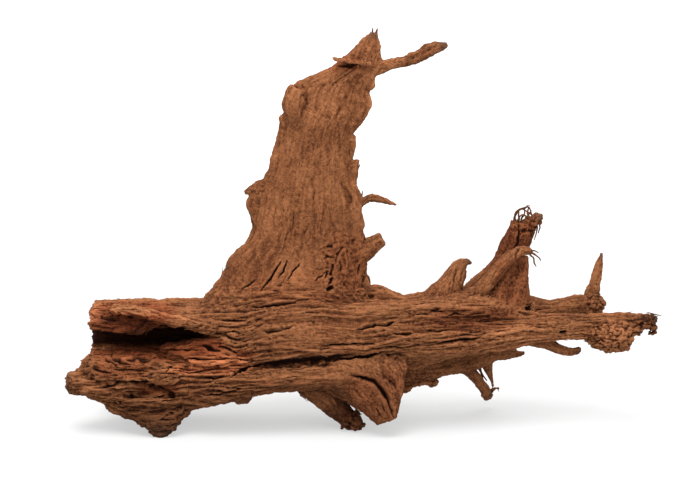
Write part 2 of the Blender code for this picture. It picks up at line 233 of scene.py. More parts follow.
def carriedProfile(rows, level=False, sides=form["sides"], step=form["stepAlong"]):
    # a superellipse carried along a smooth path: |a|^n + |b|^n = 1, scaled by each row's two half sizes
    rows = smoothRows(rows, step)
    path = rows[:, :3]
    across, deep = ringAxes(path, level)
    angle = np.arange(sides) * 2 * np.pi / sides
    c, s, power = np.cos(angle), np.sin(angle), form["squareness"]
    reach = (np.abs(c) ** power + np.abs(s) ** power) ** (-1 / power)
    rings = path[:, None] + across[:, None] * (rows[:, 3:4] * reach * c)[..., None]
    return rings + deep[:, None] * (rows[:, 4:5] * reach * s)[..., None]


def closedTube(rings):
    # points and four-cornered faces of a tube of rings, with a pole at each end whose faces repeat a corner
    count, sides = rings.shape[:2]
    poles = np.stack([rings[0].mean(axis=0), rings[-1].mean(axis=0)])
    corner = np.arange(count * sides).reshape(count, sides)
    turned = np.roll(corner, -1, axis=1)
    walls = np.stack([corner[:-1], turned[:-1], turned[1:], corner[1:]], axis=-1).reshape(-1, 4)
    first, last = count * sides, count * sides + 1
    starts = np.stack([turned[0], corner[0], np.full(sides, first), np.full(sides, first)], axis=-1)
    ends = np.stack([corner[-1], turned[-1], np.full(sides, last), np.full(sides, last)], axis=-1)
    return np.vstack([rings.reshape(-1, 3), poles]), np.vstack([walls, starts, ends])


def meshFrom(name, points, faces):
    # a mesh of four-cornered faces, where a face that repeats its last corner is a triangle; points are in mm
    data = bpy.data.meshes.new(name)
    three = faces[:, 2] == faces[:, 3]
    sizes = np.where(three, 3, 4)
    keep = np.ones(faces.shape, bool)
    keep[three, 3] = False
    corners = faces[keep]
    data.vertices.add(len(points))
    data.vertices.foreach_set("co", (points * mm).astype(np.float32).ravel())
    data.loops.add(len(corners))
    data.loops.foreach_set("vertex_index", corners.astype(np.int32))
    data.polygons.add(len(faces))
    data.polygons.foreach_set("loop_start", np.concatenate([[0], np.cumsum(sizes)[:-1]]).astype(np.int32))
    data.update(calc_edges=True)
    data.validate()
    return data


def joined(parts):
    # several (points, faces) pairs as one
    points, faces, total = [], [], 0
    for somePoints, someFaces in parts:
        points.append(somePoints)
        faces.append(someFaces + total)
        total += len(somePoints)
    return np.vstack(points), np.vstack(faces)


def placed(name, data):
    obj = bpy.data.objects.new(name, data)
    bpy.context.scene.collection.objects.link(obj)
    return obj


def evaluated(obj):
    # the object's mesh with its modifiers applied
    data = bpy.data.meshes.new_from_object(obj.evaluated_get(bpy.context.evaluated_depsgraph_get()))
    obj.modifiers.clear()
    return data


def pointsOf(data):
    points = np.empty(len(data.vertices) * 3, np.float32)
    data.vertices.foreach_get("co", points)
    return points.reshape(-1, 3).astype(float) / mm


def facesOf(data):
    # corners of the faces as (n, 4), where a triangle repeats its last corner
    starts = np.empty(len(data.polygons), np.int32)
    sizes = np.empty(len(data.polygons), np.int32)
    corners = np.empty(len(data.loops), np.int32)
    data.polygons.foreach_get("loop_start", starts)
    data.polygons.foreach_get("loop_total", sizes)
    data.loops.foreach_get("vertex_index", corners)
    return corners[starts[:, None] + np.minimum(np.arange(4), sizes[:, None] - 1)]


# ---- random fields ----
thirds = (-1, 0, 1)
slopes = [(x, y, z) for x in thirds for y in thirds for z in thirds if abs(x) + abs(y) + abs(z) == 2]
slopes = np.array(slopes + [(1, 1, 0), (-1, 1, 0), (0, -1, 1), (0, -1, -1)], float)


def scrambled(cell, seed):
    # a fixed random whole number for each lattice cell
    i, j, k = cell.T
    mix = (i * 374761393 + j * 668265263 + k * 961748927 + seed * 1442695041) & 0xFFFFFFFF
    mix = ((mix ^ (mix >> 13)) * 1274126177) & 0xFFFFFFFF
    return mix ^ (mix >> 16)


def field(points, seed):
    # gradient noise: at each lattice corner a random slope, blended by a quintic curve; about -1 to 1
    cell = np.floor(points)
    part = points - cell
    cell = cell.astype(np.int64)
    fade = part**3 * (part * (part * 6 - 15) + 10)
    total = np.zeros(len(points))
    for corner in np.ndindex(2, 2, 2):
        slope = slopes[(scrambled(cell + corner, seed) >> 4) & 15]
        share = np.prod(np.where(corner, fade, 1 - fade), axis=1)
        total += share * ((part - corner) * slope).sum(axis=1)
    return total * 1.5


def sway(points, sizes, seeds):
    # a vector of three fields, one for each axis, each with its own size
    return np.stack([field(points / size, seed) for size, seed in zip(sizes, seeds)], axis=1)


def pebbled(points, seed):
    # round lumps: 1 at each cell's own random spot, less by the square of the distance, sharp valleys between
    cell = np.floor(points).astype(np.int64)
    nearest = np.full(len(points), 9.0)
    for corner in np.ndindex(3, 3, 3):
        place = cell + corner - 1
        mix = scrambled(place, seed)
        spot = place + np.stack([mix & 1023, (mix >> 10) & 1023, (mix >> 20) & 1023], axis=1) / 1023
        nearest = np.minimum(nearest, ((points - spot) ** 2).sum(axis=1))
    return np.maximum(1 - 2.6 * nearest, -1)


def ridged(points, seed):
    # 1 on the lines where a field crosses zero, falling to about -1 between them
    return 1 - 2 * np.minimum(1, np.abs(field(points, seed)) * 2.2)


def ramp(value, low, high):
    # 0 below low, 1 above high, a smooth step between
    t = np.clip((value - low) / (high - low), 0, 1)
    return t * t * (3 - 2 * t)


# ---- grain directions ----
flow = {
    # The stock: (x, middle height, half height). Lines of grain run at an even share of the half height.
    "stock": [(-300, 84, 50), (-212, 84, 50), (-100, 88, 48), (0, 93, 45), (100, 103, 37), (160, 106, 27),
              (220, 106, 16), (300, 114, 9)],
    "waves": ((1.25, 47, 0), (0.75, 23, 1)),  # (height, length, start) of the stock's slow waves
    "evenHalf": 45,  # mm, the half size at which the lines keep their spacing
    "closing": 0.6,  # how far they close up where the stock is thinner, 1 being fully
    "leastHalf": 20,  # mm, the narrowest blade that its lines still follow
    "rowStep": 4,  # mm between the rows of a path
    "bladeFrom": (138, 168),  # mm of height, where the blade's grain takes over
    "bladeMiddle": -60,  # x where it starts lowest
    "bladeSag": 0.10,  # mm lower for each mm away from there
    "bladeEdge": (30, 60),  # mm of x, where it ends
    "limbReach": (1.0, 9.0),  # mm off a limb's skin, where the limb's own grain fades out
    "limbStart": (5, 22),  # mm along a limb, where it fades in
    "limbEnd": 6,  # mm past a limb's end that still count as the limb
    "limbMargin": 12,  # mm around a limb that are looked at
    "limbShift": 37.0,  # mm between the patterns of two limbs
    "limbSoften": 6,  # passes that soften the limbs' shares
}


def pathRows(rows):
    return smoothRows(rows, flow["rowStep"]) + np.append(seat, (0, 0))


def stockLine(x):
    # the stock's middle height less its waves, and its lines' spacing: (half height / even half) ^ closing
    places, middles, halves = np.array(flow["stock"], float).T
    waves = sum(high * np.sin(x / long + start) for high, long, start in flow["waves"])
    spacing = (np.interp(x, places, halves) / flow["evenHalf"]) ** flow["closing"]
    return np.interp(x, places, middles) - waves, spacing


def bladeLine(z):
    # the blade's middle x, and the spacing of its lines: half width / even half
    rows = pathRows(bladeLimbs["blade"])
    rows = rows[np.argsort(rows[:, 2])]
    half = np.maximum(np.interp(z, rows[:, 2], rows[:, 3]), flow["leastHalf"])
    return np.interp(z, rows[:, 2], rows[:, 0]), half / flow["evenHalf"]


def stockGrain(points):
    # (x, height over the middle line by the spacing, y): the lines close up where the stock is thinner
    middle, spacing = stockLine(points[:, 0])
    return np.stack([points[:, 0], (points[:, 2] - middle) / spacing, points[:, 1]], axis=1)


def bladeGrain(points):
    # (z, x off the middle line by the spacing, y): the lines follow both edges and fan out at the base
    middle, spacing = bladeLine(points[:, 2])
    return np.stack([points[:, 2], (points[:, 0] - middle) / spacing, points[:, 1]], axis=1)


def limbGrain(points, rows, level):
    # along a limb's own path: (distance along, offset across, offset deep), and the share of its grain there
    rows = pathRows(rows)
    path, halves = rows[:, :3], rows[:, 3:]
    across, deep = ringAxes(path, level)
    nearest = np.argmin(((points[:, None] - path[None]) ** 2).sum(axis=2), axis=1)
    off = points - path[nearest]
    a, b, back = ((off * way[nearest]).sum(axis=1) for way in (across, deep, np.cross(across, deep)))
    wide, tall = halves[nearest].T
    gap = (np.hypot(a / wide, b / tall) - 1) * np.sqrt(wide * tall)
    past = np.maximum(0, np.abs(back) - flow["limbEnd"])
    along = distances(path)[nearest]
    share = (1 - ramp(np.maximum(gap, 0) + past, *flow["limbReach"])) * ramp(along, *flow["limbStart"])
    return np.stack([along - back, a, b], axis=1), share


limbParts = [closedTube(carriedProfile(rows, name in levelLimbs) + seat)
             for limbs in (stockLimbs, stockFeet, bladeLimbs, branchLimbs) for name, rows in limbs.items()]
rough = placed("rough", meshFrom("rough", *joined(limbParts)))
fuse = rough.modifiers.new("fuse", "REMESH")
fuse.mode = "VOXEL"
fuse.voxel_size = form["voxel"] * mm
soften = rough.modifiers.new("soften", "SMOOTH")
soften.factor = 0.5
soften.iterations = form["settle"]
fused = evaluated(rough)
points, faces = pointsOf(fused), facesOf(fused)
bpy.data.objects.remove(rough)
print("fused skin:", len(points), "points")


def pairsOf(faces):
    # both ends of every side of every face
    ahead = np.roll(faces, -1, axis=1)
    first, second = faces.ravel(), ahead.ravel()
    real = first != second
    return first[real], second[real]


def averaged(values, sides, count):
    # the mean over each point's neighbours
    first, second = sides
    share = np.bincount(first, minlength=count)[:, None]
    sums = [np.bincount(first, values[second, column], minlength=count) for column in range(values.shape[1])]
    return np.stack(sums, axis=1) / np.maximum(share, 1)


def facing(points, faces):
    # unit normals: each face's, by its diagonals, summed at its corners
    one, two = points[faces[:, 2]] - points[faces[:, 0]], points[faces[:, 3]] - points[faces[:, 1]]
    flat = np.cross(one, two)
    sums = np.zeros(points.shape)
    for corner in range(4):
        for column in range(3):
            sums[:, column] += np.bincount(faces[:, corner], flat[:, column], minlength=len(points))
    return sums / np.maximum(np.linalg.norm(sums, axis=1)[:, None], 1e-9)


sides = pairsOf(faces)
count = len(points)
lowered = points[:, 2] + flow["bladeSag"] * np.abs(points[:, 0] - seat[0] - flow["bladeMiddle"])
bladeShare = ramp(lowered, *flow["bladeFrom"]) * (1 - ramp(points[:, 0], *flow["bladeEdge"]))
limbCoords = np.zeros((count, 3))
limbShare = np.zeros(count)
for number, (name, rows) in enumerate(branchLimbs.items()):
    edge = np.array(rows, float)
    margin = edge[:, 3:5].max() + flow["limbMargin"]
    low, high = edge[:, :3].min(axis=0) + seat - margin, edge[:, :3].max(axis=0) + seat + margin
    near = np.flatnonzero(((points > low) & (points < high)).all(axis=1))
    coords, share = limbGrain(points[near], rows, name in levelLimbs)
    better = share > limbShare[near]
    limbShare[near[better]] = share[better]
    limbCoords[near[better]] = coords[better] + (0, flow["limbShift"] * number, 0)

# The stock and the blade flow together; the thin limbs and the top keep their size.
stout = (1 - form["limbsKeep"] * limbShare) * (1 - form["topKeeps"] * ramp(points[:, 2], *form["topFrom"]))
for _ in range(form["blend"]):
    points += stout[:, None] * form["blendStep"] * (averaged(points, sides, count) - points)
share = limbShare[:, None]
for _ in range(flow["limbSoften"]):
    share = averaged(share, sides, count)
limbShare = share[:, 0]
print("grain laid out")

# ---- the relief of the surface ----
# Cuts on the front: (half width, depth, darkness, [(x, z), ...]), sizes in mm, in the frame of the CAD. The
# darkness is painted shade in the cut.
cuts = {
    "underBeam": [
        (1.3, 7, 1, [(-134, 59), (-124, 65), (-116, 69.5), (-100, 73), (-82, 75)]),
        (2.9, 5, 0, [(-108, 71), (-92, 73.4), (-76, 75.2), (-56, 77), (-36, 78.8), (-14, 81.6)]),
        (1.5, 6, 1, [(-34, 79.4), (-7, 82.4), (10, 84), (23, 87), (34, 88.5)]),
        (1.3, 4, 0.6, [(-84, 72), (-62, 72), (-44, 74)]), (1.5, 4, 0.6, [(-164, 60), (-150, 60), (-136, 62)]),
        (1.4, 4, 0.6, [(-160, 44), (-140, 46), (-118, 52)]),
        (1.2, 2, 0.2, [(-124, 66), (-110, 68), (-96, 70)]),
    ],
    "tornWood": [
        (2.4, 8, 1, [(-191, 82), (-184, 82.5), (-176, 82)]),
        (1.1, 5, 1, [(-196, 89), (-178, 88.5), (-160, 88)]),
        (1.1, 5, 1, [(-180, 79.5), (-152, 80.5), (-128, 80)]),
        (1.8, 7, 1, [(-158, 92), (-148, 88), (-139, 86.5)]), (1, 4, 1, [(-142, 91), (-130, 89), (-120, 84)]),
        (1, 4, 0.8, [(-168, 73), (-146, 74), (-122, 77)]), (1, 4, 0.8, [(-176, 66), (-158, 67), (-140, 69)]),
    ],
    "lips": [
        (1, 4, 1, [(-238, 76), (-222, 78), (-204, 77)]), (1, 4, 0.8, [(-246, 70), (-226, 70), (-208, 68)]),
        (9, 9, 0.1, [(-262, 116), (-240, 116), (-220, 113), (-204, 110), (-186, 108), (-170, 108)]),
        (2.6, 4, 1, [(-258, 121), (-252, 119), (-247, 120)]),
        (1.5, 5, 1, [(-257, 79), (-248, 76), (-238, 71)]), (1.4, 5, 1, [(-250, 80), (-243, 77), (-235, 75)]),
        (1.4, 4, 1, [(-268, 70), (-258, 68), (-248, 66)]),
        (3.2, 8, 0.8, [(-240, 59.5), (-226, 59), (-213, 58), (-203, 54), (-195, 49), (-189, 45)]),
        (4.4, 6, 0.25, [(-208, 53), (-198, 49), (-189, 45)]),
        (0.9, 3, 0.8, [(-268, 108), (-252, 109), (-232, 109)]),
        (0.9, 3, 0.8, [(-266, 116), (-246, 114), (-226, 114)]),
        (0.9, 3, 0.7, [(-236, 119), (-222, 118), (-206, 115)]),
        (0.9, 2.5, 0.7, [(-264, 124), (-250, 125), (-236, 124)]),
    ],
    "stock": [
        (1.9, 6, 1, [(-98, 109), (-88, 109.5), (-76, 111)]),
        (1, 3, 1, [(-84, 110.5), (-74, 112), (-64, 113)]),
        (1.8, 7, 1, [(-6, 110.5), (6, 113), (16, 114), (34, 116)]),
        (1.5, 6, 1, [(30, 106.5), (41, 106), (51, 106)]), (1.6, 6, 1, [(64, 110), (74, 109), (86, 109)]),
        (1.3, 5, 1, [(84, 120), (92, 122), (100, 123)]), (1.2, 4, 1, [(68, 127), (80, 128)]),
        (1.2, 5, 1, [(-42, 94), (-18, 96), (-2, 96), (16, 96)]),
        (1.2, 5, 1, [(-4, 89), (10, 90), (23, 91.5), (46, 92)]),
        (1.9, 7, 1, [(24, 84), (36, 82.5), (50, 81), (66, 80)]),
        (1.7, 6, 1, [(72, 94), (82, 96), (92, 98), (106, 99), (121, 102)]),
        (1.5, 7, 1, [(88, 80), (100, 81), (110, 83), (126, 88)]),
        (1.1, 3.5, 1, [(-142, 117), (-130, 116), (-113, 116)]),
        (1, 3.5, 1, [(-148, 111), (-135, 111), (-120, 109)]),
        (1.2, 3.5, 1, [(-150, 104), (-138, 106), (-118, 105)]),
        (1.2, 3.5, 1, [(-148, 99), (-134, 101), (-116, 98)]),
        (0.8, 1.5, 0.4, [(160, 117), (178, 118), (196, 118.5)]),
    ],
    "bladeFoot": [
        (1.4, 5, 1, [(-109, 130), (-96, 130.5), (-78, 132)]),
        (1.2, 4, 1, [(-55, 131), (-43, 130.5), (-31, 131)]),
        (1.6, 4, 1, [(-160, 123), (-131, 125), (-112, 127), (-94, 129)]),
        (0.9, 2, 0.6, [(-100, 131), (-76, 133), (-58, 137), (-40, 140)]),
        (1.2, 5, 0.7, [(-101, 143), (-98, 148), (-90, 157), (-83, 168), (-79, 176)]),
        (1, 4, 0.7, [(-83, 156), (-78, 164), (-73, 176)]), (1, 4, 0.7, [(-73, 155), (-68, 163), (-60, 173)]),
        (0.9, 3, 0.6, [(-122, 144), (-114, 150), (-105, 156)]),
        (0.9, 3, 0.6, [(-46, 154), (-41, 159), (-36, 163)]), (2.2, 6, 0.8, [(-34, 146), (-29, 148)]),
        (1.6, 4, 0.5, [(-31, 152), (-30, 156)]), (1.8, 4, 0.45, [(-31, 160), (-29, 165), (-29, 169)]),
        (1.3, 2.5, 0.3, [(-36, 158), (-34, 163)]), (1.2, 2, 0.2, [(-21, 160), (-20, 168), (-22, 174)]),
        (1.3, 2.5, 0.4, [(-38, 176), (-33, 178), (-27, 177)]), (1.7, 2.5, 0.2, [(-34, 187), (-30, 188)]),
        (1.6, 2.5, 0.2, [(-27, 171), (-24, 180), (-17, 188)]), (1.6, 6, 1, [(2, 146), (4, 154), (4, 162)]),
        (1.2, 4, 1, [(-3, 159), (-2, 166)]), (1, 4, 0.8, [(9, 150), (8, 160)]),
    ],
    "blade": [
        (3.6, 2.2, 0, [(-20, 258), (-19, 250), (-15, 240), (-12, 232), (-14, 222)]),
        (2.4, 1.2, 0, [(-22, 300), (-21, 284), (-20, 268)]),
        (3.2, 1.4, 0, [(-10, 348), (-14, 338), (-20, 326), (-28, 312)]),
        (2, 4, 0.15, [(-26, 367), (-12, 366), (-2, 368)]),
        (3, 1.6, 0, [(-61, 350), (-55, 343), (-54, 330), (-58, 318), (-64, 312)]),
    ],
    "flare": [
        (2.9, 7, 0.6, [(-12, 66), (4, 63), (14, 58), (21, 50), (27, 40), (30, 30), (31, 22)]),
        (1.6, 1.5, 0, [(6, 68), (16, 67), (26, 61), (35, 50), (38, 40)]),
        (1.1, 2.2, 0.5, [(14, 33), (18, 27), (20, 22)]), (1, 2, 0.5, [(19, 38), (22, 32), (24, 27)]),
    ],
    "horns": [
        (1.7, 4, 0.3, [(160, 206), (159, 198), (157, 186), (153, 172)]),
        (8.5, 4, 0.05, [(146, 140), (153, 152), (159, 163)]),
        (1.6, 1.6, 0.1, [(95, 165), (93, 156), (92, 144)]),
        (1.4, 1.4, 0.1, [(101, 164), (100, 154), (99, 142)]), (3, 7, 1, [(166, 126), (169, 126)]),
        (2.2, 5, 1, [(198, 103), (202, 103)]),
    ],
}
# The waver of their lines in x and in z: (size, height, fine size, fine height, seed), in mm.
cutWaver = {0: (11, 1.0, 4, 0.45, 51), 2: (9, 0.9, 3.6, 0.35, 52)}


def cutShape(points, cut):
    # depth of one cut at each point: a round groove about a broken line, thinner and shallower at its ends
    half, depth, _, line = cut
    line = np.array(line, float)
    flat = points[:, (0, 2)]
    lengths = distances(line)
    best, place = np.full(len(flat), 1e9), np.zeros(len(flat))
    for start, end, before in zip(line, line[1:], lengths):
        side = end - start
        t = np.clip(((flat - start) @ side) / (side @ side), 0, 1)
        gap = np.linalg.norm(flat - start - t[:, None] * side, axis=1)
        closer = gap < best
        best[closer] = gap[closer]
        place[closer] = (before + t * np.linalg.norm(side))[closer]
    end = np.minimum(place, lengths[-1] - place) / (0.35 * lengths[-1])
    taper = np.clip(end, 0.0, 1) ** 0.6 if lengths[-1] > 6 * half else 1.0
    width = half * (0.25 + 0.75 * taper)
    return depth * taper * np.clip(1 - (best / width) ** 2, 0, 1)


def frontCuts(points, normals):
    # the deepest cut at each point, only where the skin faces the front, and the painted shade in it; the
    # lines waver with a random field
    front = ramp(-normals[:, 1], -0.15, 0.2)
    waver = np.zeros(points.shape)
    for axis, (size, height, fineSize, fineHeight, seed) in cutWaver.items():
        waver[:, axis] = height * field(points / size, seed) + fineHeight * field(points / fineSize, seed + 2)
    total, dark = np.zeros(len(points)), np.zeros(len(points))
    flat = points[:, (0, 2)]
    for cut in (cut for place in cuts.values() for cut in place):
        line = np.array(cut[3], float)
        reach = cut[0] + 4
        inside = (flat > line.min(axis=0) - reach) & (flat < line.max(axis=0) + reach)
        near = np.flatnonzero(inside.all(axis=1) & (front > 0))
        if len(near):
            shape = cutShape((points + waver)[near], cut) * front[near]
            total[near] = np.maximum(total[near], shape)
            dark[near] = np.maximum(dark[near], shape * cut[2])
    return total, dark


reliefLayers = {  # (kind, "coarse" or "fine", height in mm, size along the grain, size across it)
    "broad": (field, "coarse", 1.5, 110, 20),
    "strands": (ridged, "coarse", 0.85, 80, 10),
    "fibres": (ridged, "fine", 0.70, 38, 4.2),
    "splits": (field, "fine", 0.50, 14, 2.3),
    "flakes": (pebbled, "fine", 0.40, 9, 2.8),
}
grainCracks = {  # (size of the lines along and across the grain, of their places, limits, half width)
    "wide": ((60, 6.5), (40, 12), (0.25, 0.6), 0.13),
    "hair": ((24, 3.0), (30, 10), (0.0, 0.45), 0.2),
}


def grainRelief(grain, coarse, fine, seed):
    # the sum of the layers, and for each net of cracks 1 on the lines where a field crosses zero
    strength = {"coarse": coarse, "fine": fine}
    relief = np.zeros(len(grain))
    for number, (kind, layer, height, length, width) in enumerate(reliefLayers.values()):
        relief += strength[layer] * height * kind(grain / (length, width, width), seed + number)
    seed += len(reliefLayers)
    nets = []
    for (length, width), (farLength, farWidth), limits, half in grainCracks.values():
        line = np.abs(field(grain / (length, width, width), seed))
        where = ramp(field(grain / (farLength, farWidth, farWidth), seed + 1), *limits)
        nets.append(where * np.clip(1 - line / half, 0, 1))
        seed += 2
    return relief, *nets


def spotShare(points, spots):
    # the strongest of several soft rounded boxes at each point: |dx|^4 + |dy|^4 + |dz|^4, over the half sizes
    share = np.zeros(len(points))
    for middle, radii, strength in spots:
        gap = (((points - np.array(middle)) / radii) ** 4).sum(axis=1) ** 0.25
        share = np.maximum(share, strength * (1 - ramp(gap, 0.7, 1.1)))
    return share


# Soft rounded boxes: (middle, half sizes, strength), in mm, in the frame of the CAD.
knobblySpots = [((252, -34, 95), (27, 28, 21), 1), ((287, -36, 107), (18, 16, 14), 1),
    ((240, 3, 119), (17, 16, 15), 0.8), ((168, 8, 205), (20, 16, 16), 0.9), ((-5, -34, 6), (14, 16, 12), 1),
    ((-292, -44, 50), (12, 18, 14), 0.5), ((-22, -20, 172), (20, 24, 34), 0.5),
    ((128, 42, 15), (12, 12, 12), 0.8), ((60, 14, 36), (34, 24, 12), 0.6),
    ((151, -14, 146), (17, 20, 24), 0.45), ((-96, 54, 122), (16, 16, 16), 0.8),
    ((-205, 32, 6), (24, 24, 10), 0.5), ((19, 62, 6), (20, 20, 12), 0.5)]
raggedSpots = [((-232, -40, 100), (70, 70, 50), 1), ((-170, -50, 75), (80, 50, 40), 0.7),
    ((-215, -20, 30), (60, 60, 40), 0.8), ((100, -20, 118), (60, 50, 20), 0.5),
    ((20, 20, 135), (60, 40, 14), 0.5)]
smoothSpots = [((-40, -60, 107), (66, 40, 15), 1), ((-60, -50, 62), (60, 40, 11), 0.7),
    ((190, -30, 108), (44, 40, 12), 0.8), ((0, -45, 76), (40, 40, 10), 0.6)]

surface = {
    "sway": 2.2,  # mm by which the grain wanders, less on the blade and the limbs
    "swaySizes": (46, 44, 48),
    "strength": {"stock": (1.0, 1.0), "blade": (0.3, 0.32), "limb": (0.6, 0.8)},  # of coarse and fine layers
    "lumpHeights": (0.9, 0.5),  # of the pebbled lumps, large and small
    "lumpSizes": ((6.5, 5.0, 4.4), 2.7),
    "knobHeight": 1.9,  # mm of lumps where the wood is knobbly
    "crumbs": ((0.4, 2.8), (0.45, 6.5)),  # (height, size) of the even roughness
    "edgeHeight": 2.2,  # mm of lumps on the blade's edges
    "edgeSizes": (12, 12, 15),
    "crackDepth": 2.6,  # mm
    "hairDepth": 1.0,
    "groundFade": (0.5, 6.0),  # mm of height in which a point's own height stays
    "endFibres": 3.0,  # mm by which the fibres of the broken left end differ
    "endFrom": ((-276, -250), (58, 68)),  # mm of x and of height
}
normals = facing(points, faces)
warp = surface["sway"] * sway(points, surface["swaySizes"], (61, 62, 63))
grains = {"stock": stockGrain(points + warp), "blade": bladeGrain(points + warp * 0.5)}
grains["limb"] = limbCoords + warp * 0.4
shares = {"limb": limbShare, "blade": bladeShare * (1 - limbShare)}
shares["stock"] = 1 - shares["limb"] - shares["blade"]
relief, crack, hairCrack = np.zeros((3, count))
for number, name in enumerate(("stock", "blade", "limb")):
    some = np.flatnonzero(shares[name] > 0.01)
    found = grainRelief(grains[name][some], *surface["strength"][name], 100 + 10 * number)
    for total, part in zip((relief, crack, hairCrack), found):
        total[some] += shares[name][some] * part
x, y, z = points.T
knobbly, ragged, smooth = (spotShare(points, spots) for spots in (knobblySpots, raggedSpots, smoothSpots))
relief *= (1 - 0.4 * limbShare) * (1 + 0.5 * ragged) * (1 - 0.55 * smooth)
some = np.flatnonzero(knobbly > 0.01)
bent = points[some] + 1.3 * sway(points[some], (5, 5, 5), (76, 77, 78))
lumps = np.zeros(count)
for height, size, seed in zip(surface["lumpHeights"], surface["lumpSizes"], (74, 75)):
    lumps[some] += height * pebbled(bent / size, seed)
lumps[some] -= 0.1
crumbs = sum(height * field(points / size, seed) for (height, size), seed in zip(surface["crumbs"], (71, 72)))
crumbs += surface["knobHeight"] * knobbly * lumps
edgeLumps = surface["edgeHeight"] * field(points / surface["edgeSizes"], 73)
edgeLumps *= shares["blade"] * ramp(np.abs(normals[:, 0]), 0.35, 0.8)
named, namedDark = frontCuts(points, normals)
grooves = crack * (surface["crackDepth"] + 2.0 * ragged) * (1 - 0.8 * limbShare)
grooves *= (1 - 0.7 * shares["blade"]) * (1 - 0.6 * smooth)
hairs = hairCrack * (surface["hairDepth"] + ragged) * (1 - 0.4 * limbShare) * (1 - 0.8 * shares["blade"])
moves = normals * (relief + crumbs + edgeLumps - named - np.maximum(grooves, hairs))[:, None]
moves[:, 2] *= ramp(z, *surface["groundFade"])  # the feet stay flat underneath
points += moves
endX, endZ = surface["endFrom"]
endShare = (1 - ramp(x, *endX)) * ramp(z, *endZ)
points[:, 0] += endShare * surface["endFibres"] * field(grains["stock"] / (60, 4.5, 4.5), 81)
points[:, 2] = np.maximum(points[:, 2], 0.0)
print("relief carved")


def cavityOf(points, normals, passes):
    # how far each point lies below the average of its surroundings, in mm, over a number of smoothing passes
    around = points
    for _ in range(passes):
        around = averaged(around, sides, count)
    return ((around - points) * normals).sum(axis=1)


normals = facing(points, faces)

# ---- marks for the colouring ----
toneSpots = {
    # painted shade on undersides, the feet, the legs and in recesses, with some darker wood
    "darkToneAndShade": [((-226, -40, 115), (44, 40, 11), 0.75), ((-176, -45, 88), (26, 34, 10), 0.35),
        ((-222, -30, 87), (58, 44, 6.5), 0.85), ((-203, -45, 14), (46, 60, 26), 0.8),
        ((-245, -40, 36), (45, 45, 15), 0.4), ((-90, -42, 44), (100, 40, 16), 0.5),
        ((-15, -32, 10), (28, 28, 26), 0.85), ((12, -45, 40), (36, 40, 34), 0.3),
        ((108, -30, 118), (46, 40, 11), 0.5), ((150, -15, 148), (18, 28, 24), 0.4),
        ((152, 8, 188), (28, 24, 44), 0.4), ((100, 20, 40), (80, 60, 34), 0.2),
        ((252, -34, 86), (28, 30, 10), 0.12), ((288, -36, 107), (14, 16, 14), 0.8),
        ((240, 3, 118), (24, 20, 16), 0.3), ((-20, -20, 180), (17, 25, 46), 0.35),
        ((-290, -44, 48), (16, 20, 14), 0.4), ((-236, -50, 70), (34, 30, 10), 0.15),
        ((18, 60, 20), (40, 40, 36), 0.5), ((-202, -58, 51), (24, 20, 7), 0.7)],
    "redTone": [((-202, -58, 51), (24, 20, 7), 0.7), ((-226, -40, 115), (46, 40, 14), 1),
        ((-175, -45, 88), (44, 34, 13), 1), ((-222, -30, 87), (58, 44, 9), 1),
        ((-130, -50, 84), (24, 30, 7), 0.6), ((-238, -50, 72), (30, 30, 12), 0.5),
        ((152, -15, 150), (24, 28, 28), 0.5), ((152, 8, 188), (28, 24, 46), 0.5),
        ((108, -30, 118), (46, 40, 12), 0.4), ((20, -50, 36), (40, 40, 36), 0.3),
        ((-60, -50, 150), (60, 40, 16), 0.15), ((-16, -24, 172), (20, 25, 34), 0.3),
        ((-20, -10, 368), (20, 20, 8), 0.5)],
    "orangeTone": [((-152, -50, 74), (44, 30, 11), 1), ((-236, -50, 76), (30, 30, 5), 0.25),
        ((-262, -30, 119), (10, 30, 8), 0.6), ((-210, -50, 104), (34, 24, 4), 0.4)],
    # paler wood, and painted highlight on the tops of the ledge and the knob
    "paleToneAndHighlight": [((-25, -20, 345), (60, 30, 50), 0.25), ((-232, -62, 128), (46, 20, 5), 0.4),
        ((-190, -62, 121), (24, 20, 5), 0.35), ((-288, -44, 59), (14, 20, 4), 0.5),
        ((-90, -30, 175), (60, 30, 40), 0.12), ((180, -40, 104), (56, 30, 10), 0.85),
        ((36, -50, 50), (10, 30, 30), 0.6), ((250, -40, 96), (30, 30, 18), 0.3)],
}
hollow = {  # where the painted shade inside the left end's hollow starts and is full, in mm
    "left": (146, 160),  # to the left of the middle
    "floor": (85.5, 89.5),
    "roof": (103, 8),  # its height, and the rise of the roof towards the right
    "roofRise": (-204, -186),
    "roofEdge": (0, 4),
    "front": (-62, -48),
    "back": (20, 32),
}
# Painted shade in the gap under the beam, as a cut, its line given as (x, height along the slopes).
gapLine = [(-108, 69.8), (-96, 72), (-82, 73.4), (-64, 75.4), (-47, 77.1), (-32, 78.5), (-14, 81), (-2, 82.6)]
gapShade = (3.1, 1, 1, gapLine)
sloped = z + 0.2126 * (y + 42)  # the height along slopes that fall towards the back
wavy = np.stack([x, y, sloped], axis=1)
wavy += 0.5 * np.stack([field(points / 9, 55), np.zeros(count), field(points / 5, 56)], axis=1)
shaded = np.clip(2.2 * cutShape(wavy, gapShade), 0, 1) * (1 - ramp(y, 0, 12))
namedDark = np.maximum(namedDark, 5.0 * shaded)
# painted shade: the inside of the left end's hollow, a band between its floor and its roof
roof = hollow["roof"][0] + hollow["roof"][1] * ramp(x, *hollow["roofRise"])
inside = ramp(sloped, *hollow["floor"]) * (1 - ramp(sloped - roof, *hollow["roofEdge"]))
inside *= ramp(-x, *hollow["left"]) * ramp(y, *hollow["front"]) * (1 - ramp(y, *hollow["back"]))
